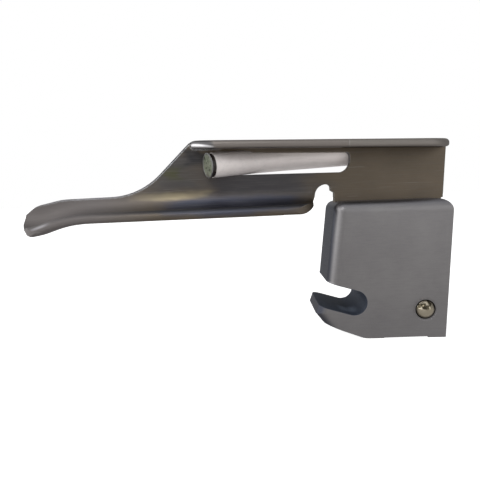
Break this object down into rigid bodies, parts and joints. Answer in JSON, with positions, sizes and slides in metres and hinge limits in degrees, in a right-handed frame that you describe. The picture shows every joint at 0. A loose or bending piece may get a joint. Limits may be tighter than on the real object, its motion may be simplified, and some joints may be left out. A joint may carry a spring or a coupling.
{
  "type": "laryngoscope blade",
  "caption": "Straight fibre-optic laryngoscope blade with a C-shaped channel, a windowed web, a light guide and a hook-on heel block with sprung ball detents.",
  "frame": {"origin": "axis of the hook's round seat for the handle's hinge pin, half way through the heel block", "axes": "+X along the blade from the tip to the heel, +Y along the hinge pin away from the channel's open side, +Z away from the handle"},
  "size_m": [0.0899, 0.0152, 0.042],
  "materials": {
    "satin_steel": "satin",
    "satin_grey_metal": "fine blasted",
    "polished_steel": "polished",
    "fibre_glass": "ground and polished",
    "dark_adhesive": "cured",
    "seal_rubber": "matte",
    "fastener_steel": "turned",
    "ball_steel": "polished",
    "spring_steel": "drawn"
  },
  "bodies": {
    "blade": {"blade_body": "satin_steel", "top_rail": "satin_steel", "heel_block": "satin_grey_metal", "light_tube": "polished_steel", "fibre_bundle": "fibre_glass", "distal_ferrule": "polished_steel", "bond_ring": "dark_adhesive", "input_ferrule": "polished_steel", "ferrule_seal": "seal_rubber", "guide_set_screw": "fastener_steel", "tang_pins": "fastener_steel", "plunger_sleeve_right": "fastener_steel", "plunger_sleeve_left": "fastener_steel", "detent_spring_right": "spring_steel", "detent_spring_left": "spring_steel"},
    "ball_right": {"detent_ball_right": "ball_steel"},
    "ball_left": {"detent_ball_left": "ball_steel"}
  },
  "joints": [
    {"name": "ball_right_press", "type": "slide", "parent": "blade", "child": "ball_right", "axis": [0, 1, 0], "range_m": [0, 0.001], "stiffness_N_per_m": 1500, "springref_m": -0.001, "deforming": ["detent_spring_right"]},
    {"name": "ball_left_press", "type": "slide", "parent": "blade", "child": "ball_left", "axis": [0, -1, 0], "range_m": [0, 0.001], "stiffness_N_per_m": 1500, "springref_m": -0.001, "deforming": ["detent_spring_left"]}
  ]
}
